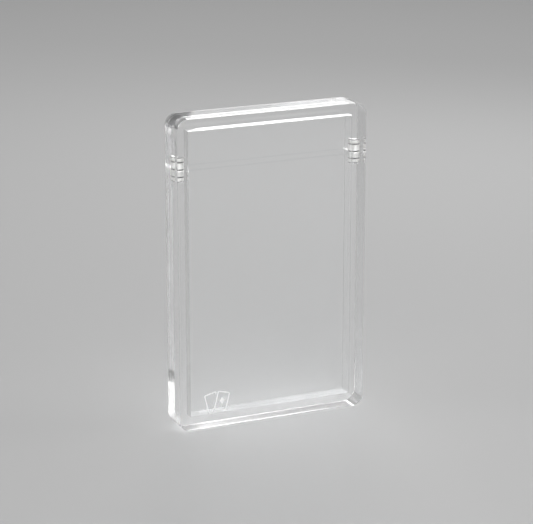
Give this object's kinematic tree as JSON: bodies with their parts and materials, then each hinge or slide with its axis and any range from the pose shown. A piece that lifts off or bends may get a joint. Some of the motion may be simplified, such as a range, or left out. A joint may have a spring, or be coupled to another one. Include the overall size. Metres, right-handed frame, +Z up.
{
  "type": "clear acrylic card slab case",
  "caption": "Slim upright case of thick clear acrylic that holds one flat card slab, with a lift-off cap held by small magnets in its side walls.",
  "frame": {"origin": "middle of the underside, on the surface that the case stands on", "axes": "+X across the width to the right as seen from the front, +Y from the front sheet to the back sheet, +Z up towards the cap"},
  "size_m": [0.0954, 0.0156, 0.15],
  "materials": {
    "clear_acrylic": "water-clear cast acrylic, polished faces and edges",
    "nickel_magnet": "satin nickel plating on disc magnets"
  },
  "bodies": {
    "body": {"body_front_sheet": "clear_acrylic", "body_back_sheet": "clear_acrylic", "body_left_bar": "clear_acrylic", "body_right_bar": "clear_acrylic", "body_bottom_bar": "clear_acrylic", "body_left_parting_magnet": "nickel_magnet", "body_left_end_magnet": "nickel_magnet", "body_right_parting_magnet": "nickel_magnet", "body_right_end_magnet": "nickel_magnet"},
    "cap": {"cap_front_sheet": "clear_acrylic", "cap_back_sheet": "clear_acrylic", "cap_left_bar": "clear_acrylic", "cap_right_bar": "clear_acrylic", "cap_top_bar": "clear_acrylic", "cap_left_parting_magnet": "nickel_magnet", "cap_left_end_magnet": "nickel_magnet", "cap_right_parting_magnet": "nickel_magnet", "cap_right_end_magnet": "nickel_magnet"}
  },
  "joints": [
    {"name": "cap_lift", "type": "slide", "parent": "body", "child": "cap", "axis": [0, 0, 1], "range_m": [0, 0.045]}
  ]
}
